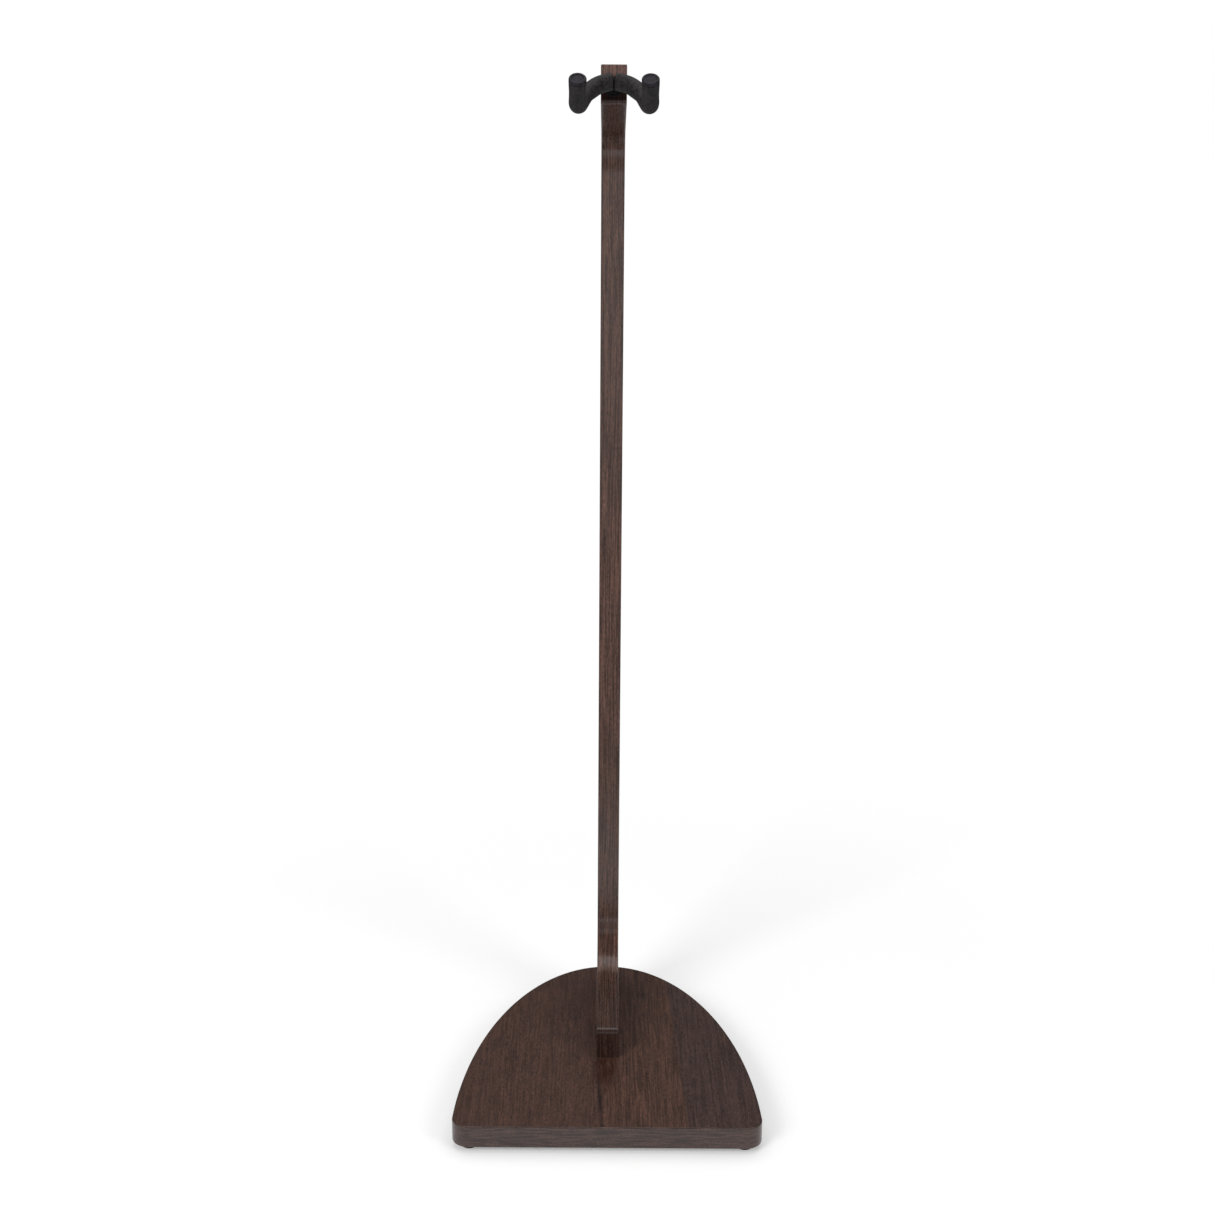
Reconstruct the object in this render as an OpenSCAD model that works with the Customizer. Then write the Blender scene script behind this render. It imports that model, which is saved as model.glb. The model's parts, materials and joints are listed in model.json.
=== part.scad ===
// Free-standing guitar stand: a D-shaped base board, a C-shaped upright cut from the same board,
// and a padded neck yoke that swivels on a stem in the end of the upright's arm.
// Millimetres. +Z is up and the front of the stand faces -Y. The origin is on the floor, at the
// centre of the base board's plan box.

/* [Boards] */
// Thickness of the veneered board that the base and the upright are cut from
board_t = 25.4; // [22:0.1:28]
// Thickness of the edge band glued round each board
band_t = 1.5; // [0.8:0.1:2]
// Overall height, from the floor to the top of the upright
stand_h = 1128; // [900:0.5:1250]

/* [Base] */
// Width of the base board, left to right
base_w = 338; // [300:1:380]
// Depth of the base board, front to back
base_d = 364; // [340:1:400]
// Plan radius of the two front corners
corner_r = 18; // [8:1:30]

/* [Upright] */
// Front face of the straight part, behind the centre of the base
front_y = 101.5; // [90:0.5:105]
// Depth of the straight part, front to back
upright_d = 55; // [45:1:60]
// Reach of the top arm, forwards from the straight part
arm_reach = 166; // [140:1:180]
// Height of the arm's end face
arm_tip_h = 37; // [34:1:44]
// Reach of the foot, forwards from the straight part
foot_reach = 140.5; // [120:0.5:160]
// Height of the foot's end face
foot_tip_h = 35; // [28:1:40]
// Slope of the arm's underside and of the foot's top, in degrees
taper = 12; // [8:0.5:14]
// Radius of the bend under the arm
arm_bend_r = 46; // [20:1:60]
// Radius of the bend above the foot
foot_bend_r = 56; // [20:1:60]
// Radius of the upright's top rear corner
back_r = 40; // [15:1:45]
// Radius of the corner above the arm's end face
top_nose_r = 2; // [2:0.5:6]
// Radius of the corner below the arm's end face
arm_nose_r = 3.5; // [2:0.5:6]
// Radius of the corner above the foot's end face
foot_nose_r = 6; // [2:0.5:8]

/* [Swivel] */
// Height of the stem's axis below the top of the arm
stem_drop = 21; // [18:0.5:22]
// Radius of the stem where it turns in its liner
stem_r = 4; // [3.5:0.25:4]
// Radial running gap between the stem and its liner
running_gap = 0.05; // [0.02:0.01:0.1]
// Length of the socket's barrel in the arm
barrel_l = 34; // [25:1:36]
// Distance of the yoke rod's centre in front of the arm
rod_standoff = 18; // [17:0.5:22]
// Height of the yoke rod's centre above the stem's axis, where it is welded on the stem's neck
rod_rise = 5; // [4:0.5:6]

/* [Yoke] */
// Radius of the steel rod
rod_r = 3.5; // [3:0.25:4]
// Radius of the padded sleeves
sleeve_r = 8.4; // [7:0.1:9]
// Width of the slit where the two sleeves meet
sleeve_slit = 1.4; // [1:0.1:3]
// Half of the distance between the pegs' centres, at their bends
peg_x = 34.4; // [32:0.1:42]
// Distance of the pegs' bends in front of the rod's centre
peg_reach = 44; // [40:1:50]
// Drop of the pegs' bends below the rod's centre
peg_drop = 25; // [20:0.5:28]
// Length of a peg from its bend to the top of its cap
peg_l = 34; // [30:1:40]
// Angle of the pegs above the horizontal, in degrees
peg_tilt = 49; // [40:1:60]

/* [Feet] */
// Height of the rubber feet
foot_pad_h = 7; // [5:0.5:10]
// Radius of a rubber foot where it meets the base
foot_pad_r = 10.5; // [9:0.5:12]

/* [Hidden] */
$fn = 64;
eps = 0.01;

// Levels and faces of the two boards
base_z = foot_pad_h;
base_top = base_z + board_t;
base_front = -base_d / 2;
back_y = front_y + upright_d;
arm_y = front_y - arm_reach;
foot_y = front_y - foot_reach;

// Degrees between the points of a curved outline
arc_step = 5;

// Bolts that hold the upright on the base, and the dowels between them
bolt_ys = [-8, 58, 128];
bolt_r = 4;
bolt_hole_r = 4.4;
bolt_l = 35;
head_r = 6.5;
head_h = 8;
key_across_flats = 6;
key_depth = 4;
counterbore_r = 9;
counterbore_h = 10;
washer_r = 8;
washer_h = 1.6;
insert_r = 6;
insert_l = 20;
insert_flange_r = 7.5;
insert_flange_h = 1.5;
dowel_ys = [25, 92];
dowel_r = 4;
dowel_l = 40;
dowel_in_base = 15;
dowel_chamfer = 1;

// Places of the rubber feet, front left, front right, rear left and rear right
front_foot_x = base_w / 2 - 19;
front_foot_y = base_front + 17.5;
rear_foot_x = 67.5;
rear_foot_y = -base_front - 65.5;
foot_places = [
    [-front_foot_x, front_foot_y], [front_foot_x, front_foot_y],
    [-rear_foot_x, rear_foot_y], [rear_foot_x, rear_foot_y]
];

// A foot's screw, sunk in a recess under the foot
pad_taper = 1;
pad_round = 1.5;
recess_r = 5;
recess_h = 3.6;
screw_r = 2;
screw_hole_r = 2.4;
screw_head_r = 4;
screw_head_h = 2.4;
screw_l = 18;
slot_w = 1.2;
slot_depth = 1;

// The swivel's pieces, as distances in front of the arm's end face
stem_z = stand_h - stem_drop;
barrel_r = 7;
socket_bore_r = stem_r + 1;
socket_flange_r = 9.5;
socket_flange_h = 2.5;
thrust_r = 8;
thrust_h = 1;
play = 0.1;
collar_r = 8;
collar_h = 3;
collar_at = socket_flange_h + thrust_h + play;
neck_r = 6.5;
thread_r = 3;
rear_washer_r = 6;
rear_washer_h = 1.6;
nut_across_flats = 10;
nut_h = 6;
thread_tail = 2;
stem_hole_clearance = 5;
stem_hole_l = barrel_l + rear_washer_h + nut_h + thread_tail + stem_hole_clearance;

// The yoke's centre line, from the middle of its rod: corners of the right half, the way the peg
// points, and the bend radius at each corner from peg to peg
shoulder = [15, -3, -3.5];
elbow = [27.5, -17, -12.5];
peg_bend = [peg_x, -peg_reach, -peg_drop];
peg_lean = 0.7;
peg_dir = unit([-peg_lean / peg_l, -cos(peg_tilt), sin(peg_tilt)]);
yoke_radii = [0, 12, 20, 18, 12, 18, 20, 12, 0];
yoke_middle = 4;

// The yoke's rod, sleeves and caps
sleeve_notch_gap = 0.3;
sleeve_bore_gap = 0.1;
tube_sides = 28;
bend_steps = 6;
cap_h = 3;
cap_round = 1;
plug_l = 5;

// ---- Outlines ----

// A vector of length one along v
function unit(v) = v / norm(v);

// Signed turn of a closed outline at corner i, in degrees, and the direction it arrives in
function arrival(p, i) = let (d = p[i] - p[(i + len(p) - 1) % len(p)]) atan2(d.y, d.x);
function turn(p, i) =
    let (a = arrival(p, (i + 1) % len(p)) - arrival(p, i))
    a > 180 ? a - 360 : a < -180 ? a + 360 : a;

// Points of the arc that rounds corner i to radius r
function corner_arc(p, i, r) =
    let (
        a = arrival(p, i),
        t = turn(p, i),
        side = sign(t),
        cut = r * tan(abs(t) / 2),
        centre = p[i] - cut * [cos(a), sin(a)] + side * r * [-sin(a), cos(a)],
        steps = ceil(abs(t) / arc_step)
    )
    [for (k = [0:steps]) centre + r * [
        cos(a - side * 90 + t * k / steps),
        sin(a - side * 90 + t * k / steps)
    ]];

// A closed outline with each corner rounded to its own radius, where zero leaves it sharp
function rounded(p, radii) =
    [for (i = [0:len(p) - 1]) each radii[i] == 0 ? [p[i]] : corner_arc(p, i, radii[i])];

// Heights of the foot's sloping top and the arm's sloping underside, moved inwards by e
function foot_slope(y, e) = base_top + foot_tip_h + (y - foot_y) * tan(taper) - e / cos(taper);
function arm_slope(y, e) = stand_h - arm_tip_h - (y - arm_y) * tan(taper) + e / cos(taper);

// Side outline of the upright, moved inwards by e everywhere but on its underside
function upright_outline(e) = rounded(
    [
        [foot_y + e, base_top],
        [back_y - e, base_top],
        [back_y - e, stand_h - e],
        [arm_y + e, stand_h - e],
        [arm_y + e, arm_slope(arm_y + e, e)],
        [front_y + e, arm_slope(front_y + e, e)],
        [front_y + e, foot_slope(front_y + e, e)],
        [foot_y + e, foot_slope(foot_y + e, e)]
    ],
    [
        0, 0, back_r - e, top_nose_r - e, arm_nose_r - e,
        arm_bend_r + e, foot_bend_r + e, foot_nose_r - e
    ]
);

// Outward direction of an ellipse with half-axes a and b at the parameter t
function ellipse_normal(a, b, t) = unit([cos(t) / a, sin(t) / b]);

// Parameter at which a corner of radius r leaves the ellipse to meet the straight front edge
function corner_parameter(a, b, r, t = 2, passes = 8) =
    passes == 0 ? t
    : corner_parameter(a, b, r, asin(r * (1 + ellipse_normal(a, b, t).y) / b), passes - 1);

// Right half of the base's plan from the front edge to the rear, moved inwards by e
function base_half(e) =
    let (
        a = base_w / 2 - e,
        b = base_d - 2 * e,
        r = corner_r - e,
        front = base_front + e,
        t = corner_parameter(a, b, r),
        normal = ellipse_normal(a, b, t),
        rise = atan2(normal.y, normal.x) + 90,
        centre = [a * cos(t) - r * normal.x, front + r],
        steps = ceil(rise / arc_step),
        sides = 45
    )
    concat(
        [for (k = [0:steps]) centre + r * [cos(rise * k / steps - 90), sin(rise * k / steps - 90)]],
        [for (k = [1:sides]) let (q = t + (90 - t) * k / sides) [a * cos(q), front + b * sin(q)]]
    );
function base_outline(e) =
    let (half = base_half(e), n = len(half))
    concat(half, [for (k = [n - 2:-1:0]) [-half[k].x, half[k].y]]);

// ---- Shared shapes ----

// The upright's side outline, moved inwards by e and extruded across the stand
module upright_slab(e, width) {
    rotate([90, 0, 90])
        linear_extrude(width, center = true) polygon(upright_outline(e));
}

// A cylinder along the swivel's axis, between two distances in front of the arm's end face
module axial(r, from, to, sides = $fn) {
    translate([0, arm_y - from, stem_z])
        rotate([90, 0, 0]) cylinder(r = r, h = to - from, $fn = sides);
}

// Holes in the upright for the inserts, the bolt ends and the dowels
module upright_holes() {
    for (y = bolt_ys) translate([0, y, base_top]) {
        translate([0, 0, -eps]) cylinder(r = insert_flange_r, h = insert_flange_h + eps);
        translate([0, 0, -eps]) cylinder(r = insert_r, h = insert_l + eps);
    }
    for (y = dowel_ys) translate([0, y, base_top - eps])
        cylinder(r = dowel_r, h = dowel_l - dowel_in_base + eps);
}

// Corners of the yoke's centre line, the last ones drawn back from the pegs' tops by the gap given
function right_corners(gap) = [shoulder, elbow, peg_bend, peg_bend + (peg_l - gap) * peg_dir];
function mirrored(p) = [-p.x, p.y, p.z];
function yoke_corners(gap) =
    let (right = right_corners(gap))
    concat([for (i = [3:-1:0]) mirrored(right[i])], [[0, 0, 0]], right);

// Length that the bend at corner i takes off each of its legs
function bend_cut(p, radii, i) =
    radii[i] == 0 ? 0
    : radii[i] * tan(acos(unit(p[i] - p[i - 1]) * unit(p[i + 1] - p[i])) / 2);

// Turns +Z to point along d
module facing(d) {
    rotate([0, acos(d.z), atan2(d.y, d.x)]) children();
}

// The bend at corner i: the directions before and after it, the way to its centre, and the centre
function bend(p, radii, i) =
    let (
        arrive = unit(p[i] - p[i - 1]),
        leave = unit(p[i + 1] - p[i]),
        inward = unit(leave - (arrive * leave) * arrive)
    )
    [arrive, leave, inward, p[i] - arrive * bend_cut(p, radii, i) + inward * radii[i]];

// Point and direction of the centre line, the fraction f of the way round the bend at corner i
function bend_station(p, radii, i, f) =
    let (b = bend(p, radii, i), a = f * acos(b[0] * b[1]))
    [
        b[3] + radii[i] * (sin(a) * b[0] - cos(a) * b[2]),
        cos(a) * b[0] + sin(a) * b[2]
    ];

// Points of a ring of radius r round a station of the centre line
function ring_points(station, r) =
    let (across = unit(cross(station[1], [0, 0, 1])), up = cross(across, station[1]))
    [for (k = [0:tube_sides - 1])
        let (a = 360 * k / tube_sides) station[0] + r * (cos(a) * across + sin(a) * up)];

// A tube with a bore, swept through the stations of a centre line
module tube(stations, r, bore) {
    n = tube_sides;
    last = len(stations) - 1;
    points = concat(
        [for (s = stations) each ring_points(s, r)],
        [for (s = stations) each ring_points(s, bore)]
    );
    inner = n * len(stations);
    sides = [for (s = [0:last - 1], k = [0:n - 1])
        let (a = s * n + k, b = s * n + (k + 1) % n)
        each [[b, b + n, a + n, a], [inner + a, inner + a + n, inner + b + n, inner + b]]];
    ends = [for (k = [0:n - 1])
        let (j = (k + 1) % n, e = last * n)
        each [[inner + k, inner + j, j, k], [inner + e + j, inner + e + k, e + k, e + j]]];
    polyhedron(points, concat(sides, ends), convexity = 6);
}

// A round bar of radius r through the corners p, each bent to its own radius
module bent_bar(p, radii, r) {
    n = tube_sides;
    stations = concat(
        [[p[0], unit(p[1] - p[0])]],
        [for (i = [1:len(p) - 2], k = [0:bend_steps]) bend_station(p, radii, i, k / bend_steps)],
        [[p[len(p) - 1], unit(p[len(p) - 1] - p[len(p) - 2])]]
    );
    last = len(stations) - 1;
    sides = [for (s = [0:last - 1], k = [0:n - 1])
        let (a = s * n + k, b = s * n + (k + 1) % n) [b, b + n, a + n, a]];
    ends = [[for (k = [n - 1:-1:0]) k], [for (k = [0:n - 1]) last * n + k]];
    polyhedron([for (s = stations) each ring_points(s, r)], concat(sides, ends), convexity = 6);
}

// Moves from the yoke's own frame, at the middle of its rod, to the stand's frame
module at_yoke() {
    translate([0, arm_y - rod_standoff, stem_z + rod_rise]) children();
}

// ---- Base ----

module base_board() {
    color("#3e2c24")
    difference() {
        translate([0, 0, base_z]) linear_extrude(board_t) polygon(base_outline(band_t));
        for (y = bolt_ys) translate([0, y, base_z]) {
            translate([0, 0, -eps]) cylinder(r = counterbore_r, h = counterbore_h + eps);
            cylinder(r = bolt_hole_r, h = board_t + eps);
        }
        for (y = dowel_ys) translate([0, y, base_top - dowel_in_base])
            cylinder(r = dowel_r, h = dowel_in_base + eps);
        for (place = foot_places) translate([place.x, place.y, base_z - eps])
            cylinder(r = screw_r, h = screw_l - foot_pad_h + recess_h + eps);
    }
}

module base_edge_band() {
    color("#4a3d38")
    translate([0, 0, base_z]) linear_extrude(board_t) difference() {
        polygon(base_outline(0));
        polygon(base_outline(band_t));
    }
}

// A rubber foot, tapered and rounded towards the floor, with a recess for its screw's head
module rubber_foot(place) {
    color("#1c1c1c")
    translate([place.x, place.y, 0]) rotate_extrude() difference() {
        polygon([
            [0, 0],
            [foot_pad_r - pad_taper - pad_round, 0],
            [foot_pad_r - pad_taper, pad_round],
            [foot_pad_r, foot_pad_h],
            [0, foot_pad_h]
        ]);
        translate([0, -eps]) square([recess_r, recess_h + eps]);
        square([screw_hole_r, foot_pad_h + eps]);
    }
}

// Pan-head screws that hold the feet
module foot_screws() {
    color("#9a9a9a")
    for (place = foot_places) translate([place.x, place.y, recess_h]) {
        cylinder(r = screw_r, h = screw_l);
        difference() {
            translate([0, 0, -screw_head_h]) cylinder(r = screw_head_r, h = screw_head_h);
            translate([0, 0, -screw_head_h + slot_depth / 2])
                cube([2 * screw_head_r, slot_w, slot_depth + eps], center = true);
        }
    }
}

// ---- Upright ----

module upright_board() {
    color("#45342c")
    difference() {
        upright_slab(band_t, board_t);
        upright_holes();
        axial(barrel_r, -stem_hole_l, eps);
    }
}

module upright_edge_band() {
    color("#52433c")
    difference() {
        rotate([90, 0, 90]) linear_extrude(board_t, center = true) difference() {
            polygon(upright_outline(0));
            polygon(upright_outline(band_t));
        }
        axial(barrel_r, -band_t - eps, eps);
    }
}

// Socket-head bolts that come up through the base into the upright
module upright_bolts() {
    color("#2a2a2a")
    for (y = bolt_ys) translate([0, y, base_z + counterbore_h - washer_h]) {
        cylinder(r = bolt_r, h = bolt_l);
        difference() {
            translate([0, 0, -head_h]) cylinder(r = head_r, h = head_h);
            translate([0, 0, -head_h - eps])
                cylinder(r = key_across_flats / 2 / cos(30), h = key_depth + eps, $fn = 6);
        }
    }
}

module bolt_washers() {
    color("#9a9a9a")
    for (y = bolt_ys) translate([0, y, base_z + counterbore_h - washer_h]) difference() {
        cylinder(r = washer_r, h = washer_h);
        translate([0, 0, -eps]) cylinder(r = bolt_r, h = washer_h + 2 * eps);
    }
}

// Flanged threaded inserts in the upright's underside
module bolt_inserts() {
    color("#b08d4a")
    for (y = bolt_ys) translate([0, y, base_top]) difference() {
        union() {
            cylinder(r = insert_flange_r, h = insert_flange_h);
            cylinder(r = insert_r, h = insert_l);
        }
        translate([0, 0, -eps]) cylinder(r = bolt_r, h = insert_l + 2 * eps);
    }
}

module locating_dowels() {
    color("#c9a878")
    for (y = dowel_ys) translate([0, y, base_top - dowel_in_base]) {
        cylinder(r1 = dowel_r - dowel_chamfer, r2 = dowel_r, h = dowel_chamfer);
        translate([0, 0, dowel_chamfer]) cylinder(r = dowel_r, h = dowel_l - 2 * dowel_chamfer);
        translate([0, 0, dowel_l - dowel_chamfer])
            cylinder(r1 = dowel_r, r2 = dowel_r - dowel_chamfer, h = dowel_chamfer);
    }
}

// ---- Swivel ----

// Flanged socket pressed into the arm
module stem_socket() {
    color("#202020")
    difference() {
        union() {
            axial(barrel_r, -barrel_l, 0);
            axial(socket_flange_r, 0, socket_flange_h);
        }
        axial(socket_bore_r, -barrel_l - eps, socket_flange_h + eps);
    }
}

// Plastic liner that the stem turns in
module stem_liner() {
    color("#242424")
    difference() {
        axial(socket_bore_r, -barrel_l, socket_flange_h);
        axial(stem_r + running_gap, -barrel_l - eps, socket_flange_h + eps);
    }
}

module thrust_washer() {
    color("#242424")
    difference() {
        axial(thrust_r, socket_flange_h, socket_flange_h + thrust_h);
        axial(stem_r + running_gap, socket_flange_h - eps, socket_flange_h + thrust_h + eps);
    }
}

// Stem with a collar in front of the arm and a neck whose end is coped round the yoke's rod
module swivel_stem() {
    color("#202020")
    difference() {
        union() {
            axial(thread_r, -barrel_l - play - rear_washer_h - nut_h - thread_tail, -barrel_l);
            axial(stem_r, -barrel_l - play, collar_at);
            axial(collar_r, collar_at, collar_at + collar_h);
            axial(neck_r, collar_at + collar_h, rod_standoff);
        }
        at_yoke() bent_bar(yoke_corners(0), yoke_radii, rod_r);
    }
}

module rear_washer() {
    color("#9a9a9a")
    difference() {
        axial(rear_washer_r, -barrel_l - play - rear_washer_h, -barrel_l - play);
        axial(thread_r, -barrel_l - play - rear_washer_h - eps, -barrel_l - play + eps);
    }
}

module lock_nut() {
    nut_at = -barrel_l - play - rear_washer_h;
    color("#9a9a9a")
    difference() {
        axial(nut_across_flats / 2 / cos(30), nut_at - nut_h, nut_at, 6);
        axial(thread_r, nut_at - nut_h - eps, nut_at + eps);
    }
}

// ---- Yoke ----

// One bent rod, from peg to peg through the stem's coped end
module yoke_rod() {
    color("#303030")
    at_yoke() bent_bar(yoke_corners(cap_h + plug_l), yoke_radii, rod_r);
}

// Padded sleeve over one arm and peg, from the slit at the middle: side is -1 for left
module sleeve(side) {
    p = yoke_corners(cap_h);
    root = bend_station(p, yoke_radii, yoke_middle, 0.5)[0] + [sleeve_slit / 2, 0, 0];
    stations = concat(
        [[root, [1, 0, 0]]],
        [for (f = [0.75, 1]) bend_station(p, yoke_radii, yoke_middle, f)],
        [for (i = [1:3], k = [0:bend_steps])
            bend_station(p, yoke_radii, yoke_middle + i, k / bend_steps)],
        [[p[len(p) - 1], peg_dir]]
    );
    color("#2c2c2e")
    at_yoke() mirror([side < 0 ? 1 : 0, 0, 0]) difference() {
        tube(stations, sleeve_r, rod_r + sleeve_bore_gap);
        translate([0, 0, -rod_rise])
            rotate([-90, 0, 0]) cylinder(r = neck_r + sleeve_notch_gap, h = rod_standoff);
    }
}

// Cap on a peg's end, with a plug that fills the sleeve's bore as far as the rod
module peg_cap(side) {
    top = right_corners(0)[3];
    color("#232325")
    at_yoke() mirror([side < 0 ? 1 : 0, 0, 0]) translate(top) facing(peg_dir) {
        translate([0, 0, -cap_round])
            cylinder(r1 = sleeve_r, r2 = sleeve_r - cap_round, h = cap_round);
        translate([0, 0, -cap_h]) cylinder(r = sleeve_r, h = cap_h - cap_round);
        translate([0, 0, -cap_h - plug_l]) cylinder(r = rod_r, h = plug_l);
    }
}

base_board();
base_edge_band();
upright_board();
upright_edge_band();
rubber_foot(foot_places[0]);  // front_left_foot
rubber_foot(foot_places[1]);  // front_right_foot
rubber_foot(foot_places[2]);  // rear_left_foot
rubber_foot(foot_places[3]);  // rear_right_foot
foot_screws();
upright_bolts();
bolt_washers();
bolt_inserts();
locating_dowels();
stem_socket();
stem_liner();
thrust_washer();
swivel_stem();
rear_washer();
lock_nut();
yoke_rod();
sleeve(-1);  // left_sleeve
sleeve(1);  // right_sleeve
peg_cap(-1);  // left_cap
peg_cap(1);  // right_cap
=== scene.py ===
"""Looks of the floor guitar stand: veneered boards, edge bands, padded yoke, feet and hardware.

Lengths are in metres. The front of the stand faces -Y and its right side is +X.
"""

import json
import math

import bmesh
import bpy
import numpy as np
from mathutils import Matrix, Vector


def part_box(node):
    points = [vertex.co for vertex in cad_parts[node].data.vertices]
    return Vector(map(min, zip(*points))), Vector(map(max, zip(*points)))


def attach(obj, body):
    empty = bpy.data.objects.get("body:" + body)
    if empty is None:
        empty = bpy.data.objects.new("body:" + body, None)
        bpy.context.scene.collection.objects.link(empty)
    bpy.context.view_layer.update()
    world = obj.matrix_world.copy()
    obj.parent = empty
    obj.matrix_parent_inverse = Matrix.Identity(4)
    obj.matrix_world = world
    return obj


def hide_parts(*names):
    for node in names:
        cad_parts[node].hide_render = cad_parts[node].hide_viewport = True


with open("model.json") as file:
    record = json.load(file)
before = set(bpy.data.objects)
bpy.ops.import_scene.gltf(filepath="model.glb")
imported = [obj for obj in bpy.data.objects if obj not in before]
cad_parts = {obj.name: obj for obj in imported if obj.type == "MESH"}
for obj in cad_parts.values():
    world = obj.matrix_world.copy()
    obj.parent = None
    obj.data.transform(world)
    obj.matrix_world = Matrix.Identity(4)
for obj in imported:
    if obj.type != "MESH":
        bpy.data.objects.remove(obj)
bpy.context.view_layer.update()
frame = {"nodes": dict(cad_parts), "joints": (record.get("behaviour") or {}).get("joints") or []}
MM = 0.001
X, Y, Z = range(3)
UP = Vector((0, 0, 1))
BACK = Vector((0, 1, 0))

# ---- Sizes taken from the frame ----

band_low, band_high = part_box("base_edge_band")
base_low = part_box("base_board")[0]
upright_low, upright_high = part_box("upright_edge_band")
socket_low, socket_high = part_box("stem_socket")
washer_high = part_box("bolt_washers")[1]
insert_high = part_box("bolt_inserts")[1]
dowel_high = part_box("locating_dowels")[1]
swivel_at = Vector(frame["joints"][0]["pos_m"])

BAND_T = base_low.y - band_low.y
BASE_DEPTH = band_high.y - band_low.y
BASE_TOP = band_high.z
BASE_BOTTOM = band_low.z
ARM_END_Y = upright_low.y
UPRIGHT_TOP = upright_high.z
UPRIGHT_BACK = upright_high.y
HALF_BOARD = upright_high.x

# ---- Shapes that the frame's boxes don't give ----

CORNER_R = 18 * MM
STRAIGHT_FRONT_Y = 101.5 * MM
FOOT_REACH = 140.5 * MM
FOOT_TIP_H = 35 * MM
ARM_TIP_H = 37 * MM
TAPER = math.radians(12)
ARM_BEND_R = 46 * MM
FOOT_BEND_R = 56 * MM
BACK_R = 40 * MM
TOP_NOSE_R = 2 * MM
ARM_NOSE_R = 3.5 * MM
FOOT_NOSE_R = 6 * MM
EASED_R = 1.1 * MM
SEAM = 0.12 * MM
BOLT_RECESS_R = 9 * MM
INSERT_R = 6 * MM
BARREL_R = 7 * MM
STEM_HOLE_L = 48.6 * MM

# The yoke's rod, from its middle outwards: corners of the right half and the radii of the bends
ROD_RISE = 5 * MM
SHOULDER = Vector((15, -3, -3.5)) * MM
ELBOW = Vector((27.5, -17, -12.5)) * MM
PEG_BEND = Vector((34.4, -44, -25)) * MM
PEG_LENGTH = 34 * MM
PEG_LEAN = 0.7 * MM
PEG_TILT = math.radians(49)
BEND_RADII = (12 * MM, 18 * MM, 20 * MM, 12 * MM)
ROD_R = 3.5 * MM
SLEEVE_R = 8.4 * MM
SLIT = 1.4 * MM
CAP_H = 3 * MM
NECK_R = 6.5 * MM
NECK_L = 18 * MM
yoke_centre = swivel_at + UP * ROD_RISE


# ---- Meshes ----

def new_object(name, mesh_builder, smooth_angle=35):
    """An object made from a bmesh that mesh_builder fills, with edges sharp past the angle given."""
    bm = bmesh.new()
    mesh_builder(bm)
    bmesh.ops.recalc_face_normals(bm, faces=bm.faces)
    mesh = bpy.data.meshes.new(name)
    bm.to_mesh(mesh)
    bm.free()
    obj = bpy.data.objects.new(name, mesh)
    bpy.context.scene.collection.objects.link(obj)
    sharpen(obj, smooth_angle)
    return obj


def sharpen(obj, angle):
    """Smooth shading, with sharp edges where faces meet at more than the angle in degrees."""
    for polygon in obj.data.polygons:
        polygon.use_smooth = True
    obj.data.set_sharp_from_angle(angle=math.radians(angle))


def bridge(bm, first, second, closed):
    """Faces between two rows of vertices with the same count."""
    count = len(first)
    for i in range(count if closed else count - 1):
        j = (i + 1) % count
        bm.faces.new((first[i], first[j], second[j], second[i]))


def lathe(bm, profile, origin, axis, sides=64):
    """Turns a profile of (radius, height) pairs round an axis; a radius of zero closes it."""
    turn = UP.rotation_difference(axis).to_matrix()
    rings = []
    for radius, height in profile:
        ring = []
        for k in range(sides if radius > 0 else 1):
            a = 2 * math.pi * k / sides
            point = Vector((radius * math.cos(a), radius * math.sin(a), height))
            ring.append(bm.verts.new(origin + turn @ point))
        rings.append(ring)
    for low, high in zip(rings, rings[1:]):
        if len(low) == len(high):
            bridge(bm, low, high, closed=True)
            continue
        tip, ring = (low[0], high) if len(low) == 1 else (high[0], low)
        for k in range(sides):
            bm.faces.new((tip, ring[k], ring[(k + 1) % sides]))


def arc(centre, radius, start, end, steps=6):
    """Points of an arc, from one angle in degrees to another."""
    points = []
    for k in range(steps + 1):
        a = math.radians(start + (end - start) * k / steps)
        points.append((centre[0] + radius * math.cos(a), centre[1] + radius * math.sin(a)))
    return points


def drill(obj, holes):
    """Cuts round holes, each (mouth, direction into the piece, radius, depth), out of a piece."""
    overrun = 1 * MM

    def cutters(bm):
        for mouth, direction, radius, depth in holes:
            length = depth + overrun
            profile = [(0, 0), (radius, 0), (radius, length), (0, length)]
            lathe(bm, profile, mouth - direction * overrun, direction)

    cutter = new_object(obj.name + "_cutter", cutters)
    cut = obj.modifiers.new("holes", "BOOLEAN")
    cut.operation = "DIFFERENCE"
    cut.solver = "EXACT"
    cut.object = cutter
    bpy.context.view_layer.update()
    result = obj.evaluated_get(bpy.context.evaluated_depsgraph_get())
    mesh = bpy.data.meshes.new_from_object(result)
    old = obj.data
    obj.modifiers.clear()
    obj.data = mesh
    mesh.name = obj.name
    bpy.data.meshes.remove(old)
    bpy.data.objects.remove(cutter)


# ---- Outlines of the boards ----

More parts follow.
